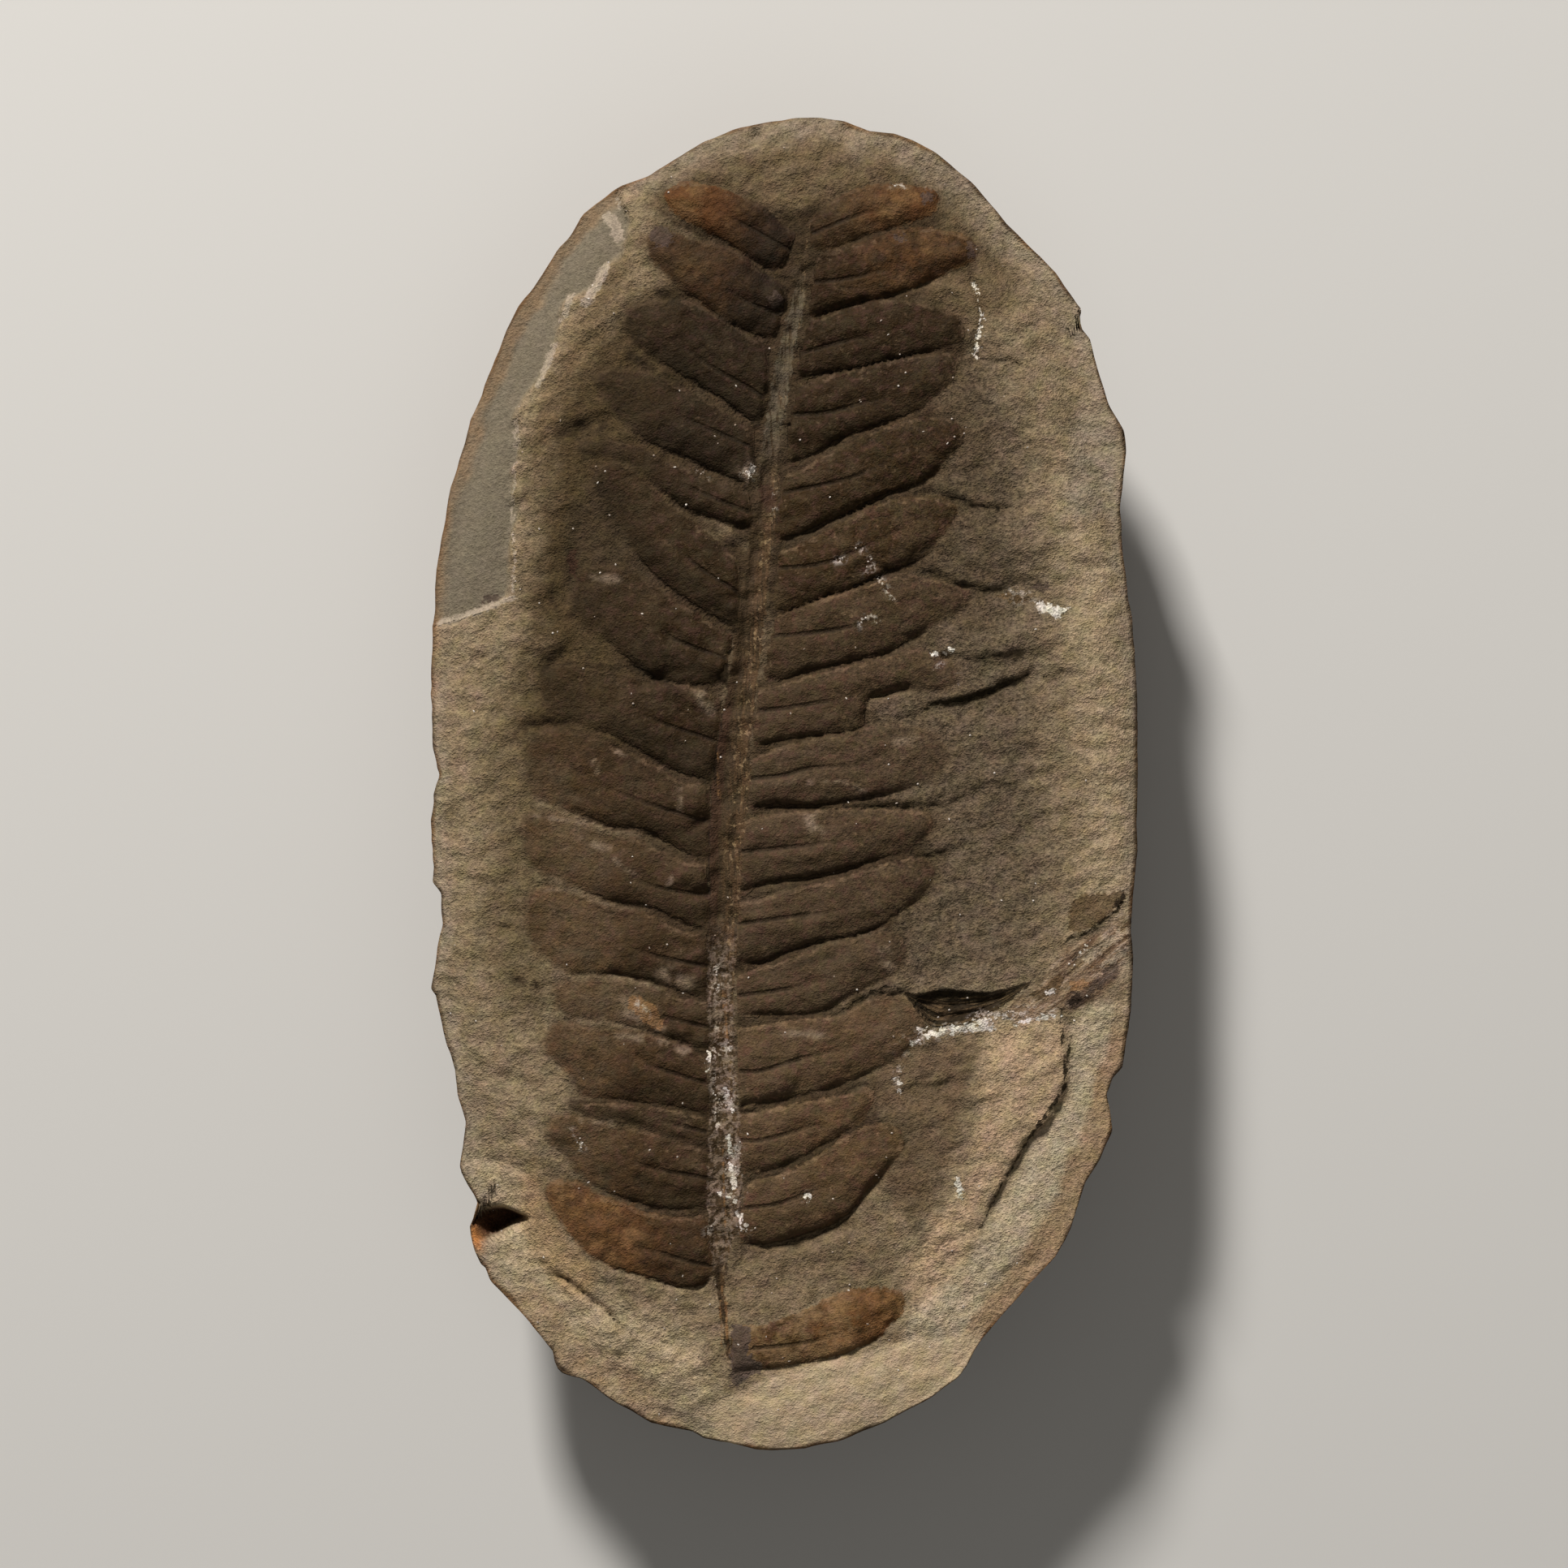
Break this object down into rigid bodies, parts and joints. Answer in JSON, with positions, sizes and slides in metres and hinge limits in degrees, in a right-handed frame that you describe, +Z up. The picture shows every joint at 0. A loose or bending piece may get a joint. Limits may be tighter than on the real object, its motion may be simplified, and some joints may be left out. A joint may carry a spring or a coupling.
{
  "type": "fossil fern nodule half",
  "caption": "Half of a split ironstone nodule, lying on its rounded back, with a fossil fern frond in low relief on its flat split face.",
  "frame": {"origin": "centre of the outline, at the worn flat of the back that the stone rests on", "axes": "+Z up out of the split face, +Y along the length towards the tip of the frond, +X to the right seen from above"},
  "size_m": [0.0584, 0.11, 0.0165],
  "materials": {
    "siderite": "dull, fine sandy tan-brown ironstone with a darker carbon-brown fern"
  },
  "bodies": {
    "root": {"nodule_half": "siderite"}
  },
  "joints": []
}
